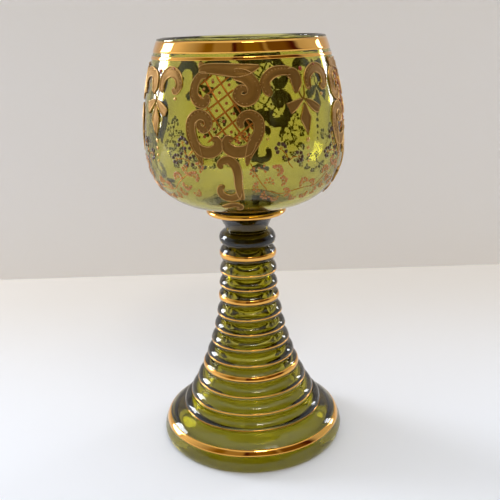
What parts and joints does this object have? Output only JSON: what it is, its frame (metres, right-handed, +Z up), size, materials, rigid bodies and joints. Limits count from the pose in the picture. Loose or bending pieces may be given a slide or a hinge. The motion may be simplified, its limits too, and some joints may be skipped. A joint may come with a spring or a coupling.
{
  "type": "roemer wine glass",
  "caption": "Green wine glass with a wide drawn-in bowl, a gilt collar and a hollow flared foot ringed with glass threads, gold bands at the rim and on the threads.",
  "frame": {"origin": "the middle of the face that the foot stands on", "axes": "+Z up along the glass's axis, from the foot to the rim; the front of the ornament faces -Y"},
  "size_m": [0.085, 0.085, 0.18],
  "materials": {
    "green_glass": "fire-polished, olive green, clear",
    "fired_gold": "burnished gilding"
  },
  "bodies": {
    "root": {"bowl": "green_glass", "collar_disc": "green_glass", "foot_cone": "green_glass", "thread_01": "green_glass", "thread_02": "green_glass", "thread_03": "green_glass", "thread_04": "green_glass", "thread_05": "green_glass", "thread_06": "green_glass", "thread_07": "green_glass", "thread_08": "green_glass", "thread_09": "green_glass", "thread_10": "green_glass", "thread_11": "green_glass", "thread_12": "green_glass", "thread_13": "green_glass", "thread_14": "green_glass", "rim_band": "fired_gold", "rim_line": "fired_gold", "collar_gilding": "fired_gold", "gilding_02": "fired_gold", "gilding_03": "fired_gold", "gilding_04": "fired_gold", "gilding_05": "fired_gold", "gilding_06": "fired_gold", "gilding_07": "fired_gold", "gilding_08": "fired_gold", "gilding_09": "fired_gold", "gilding_10": "fired_gold", "gilding_11": "fired_gold", "gilding_12": "fired_gold", "gilding_13": "fired_gold", "gilding_14": "fired_gold"}
  },
  "joints": []
}
